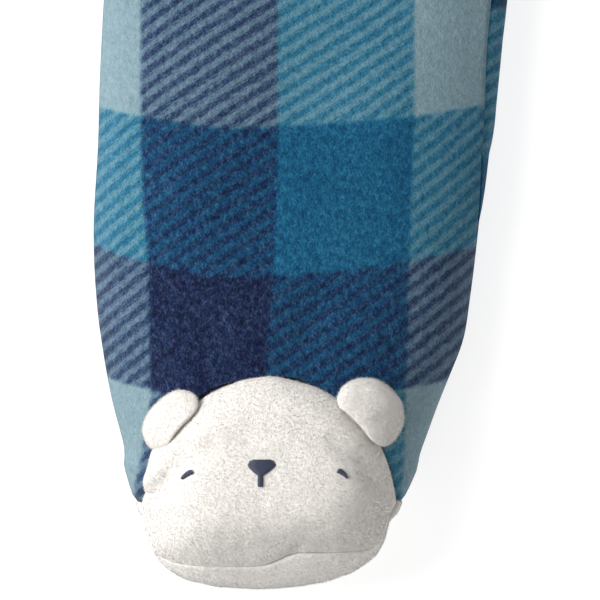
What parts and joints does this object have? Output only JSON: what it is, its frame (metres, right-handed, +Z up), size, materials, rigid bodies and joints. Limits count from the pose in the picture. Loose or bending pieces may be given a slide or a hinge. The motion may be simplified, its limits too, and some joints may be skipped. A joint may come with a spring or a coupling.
{
  "type": "onesie pajama",
  "caption": "Toddler's one-piece footed sleeper in blue check fleece, laid flat, with a centre-front zip and plush bear-face feet with ears",
  "frame": {"origin": "on the surface that the garment lies on, under the centre of its bounding box", "axes": "+X towards the wearer's left, which is the viewer's right; +Y from the feet to the neck; +Z up off the surface, the garment's front side"},
  "size_m": [0.642, 0.8058, 0.0546],
  "materials": {
    "plaid_fleece": "brushed fleece, three-colour blue check",
    "cream_plush": "short cream plush pile",
    "binding": "navy rib-like binding",
    "zip_tape": "woven tape with a nylon coil",
    "zip_metal": "plated zip metal"
  },
  "bodies": {
    "garment": {"front_body_left": "plaid_fleece", "front_body_right": "plaid_fleece", "front_leg_left": "plaid_fleece", "front_leg_right": "plaid_fleece", "back_body_left": "plaid_fleece", "back_body_right": "plaid_fleece", "back_leg_left": "plaid_fleece", "back_leg_right": "plaid_fleece", "sleeve_left": "plaid_fleece", "sleeve_right": "plaid_fleece", "neck_binding": "binding", "zip": "zip_tape", "zip_slider": "zip_metal", "zip_bridge": "zip_metal", "foot_face_left": "cream_plush", "foot_face_right": "cream_plush", "sole_left": "cream_plush", "sole_right": "cream_plush", "ear_outer_left": "cream_plush", "ear_outer_right": "cream_plush", "ear_inner_left": "cream_plush", "ear_inner_right": "cream_plush"},
    "pull_tab": {"zip_pull": "zip_metal"}
  },
  "joints": [
    {"name": "pull_hinge", "type": "hinge", "parent": "garment", "child": "pull_tab", "pos_m": [0, 0.3439, 0.0289], "axis": [-1, 0, 0], "range_deg": [0, 150]}
  ]
}
